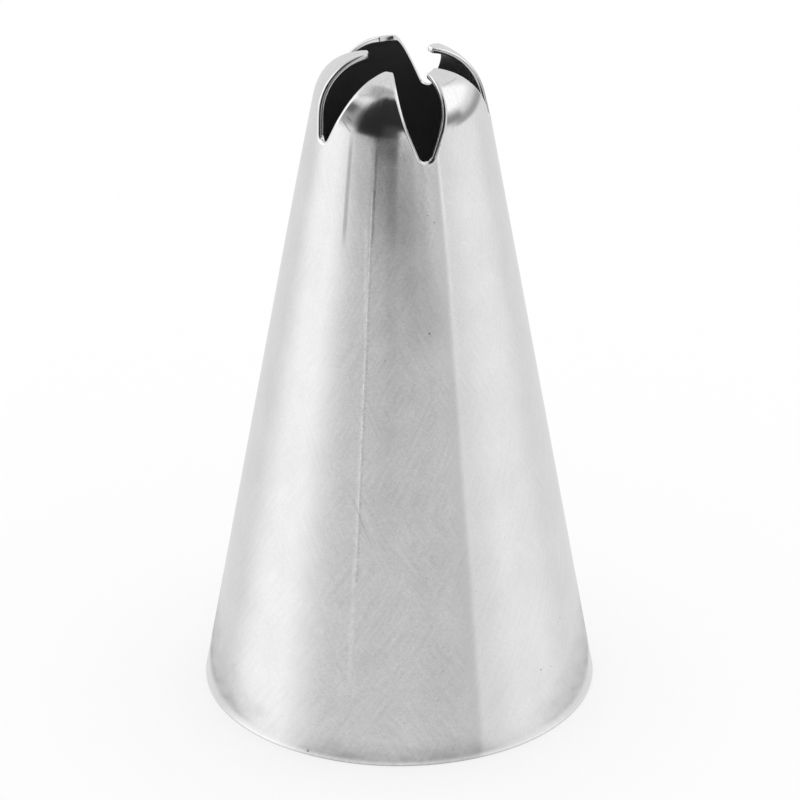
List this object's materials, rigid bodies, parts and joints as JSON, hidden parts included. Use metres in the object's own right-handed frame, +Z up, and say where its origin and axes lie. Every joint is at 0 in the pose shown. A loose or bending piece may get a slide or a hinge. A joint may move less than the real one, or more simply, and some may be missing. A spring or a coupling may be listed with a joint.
{
  "type": "piping nozzle",
  "caption": "Tapered stainless nozzle for a piping bag: a thin sheet cone, open below, with slotted fingers curved in over its outlet, for star and drop-flower icing.",
  "frame": {"origin": "middle of the base rim, in the plane that the nozzle stands on", "axes": "+Z up the nozzle's axis, out of the small end; -Y towards the front of the picture; +X to its right"},
  "size_m": [0.025, 0.025, 0.0446],
  "materials": {
    "polished_sheet": "stainless sheet with a fine satin polish",
    "weld_metal": "stainless weld, ground flush and polished"
  },
  "bodies": {
    "root": {"nozzle_shell": "polished_sheet", "seam_weld": "weld_metal"}
  },
  "joints": []
}
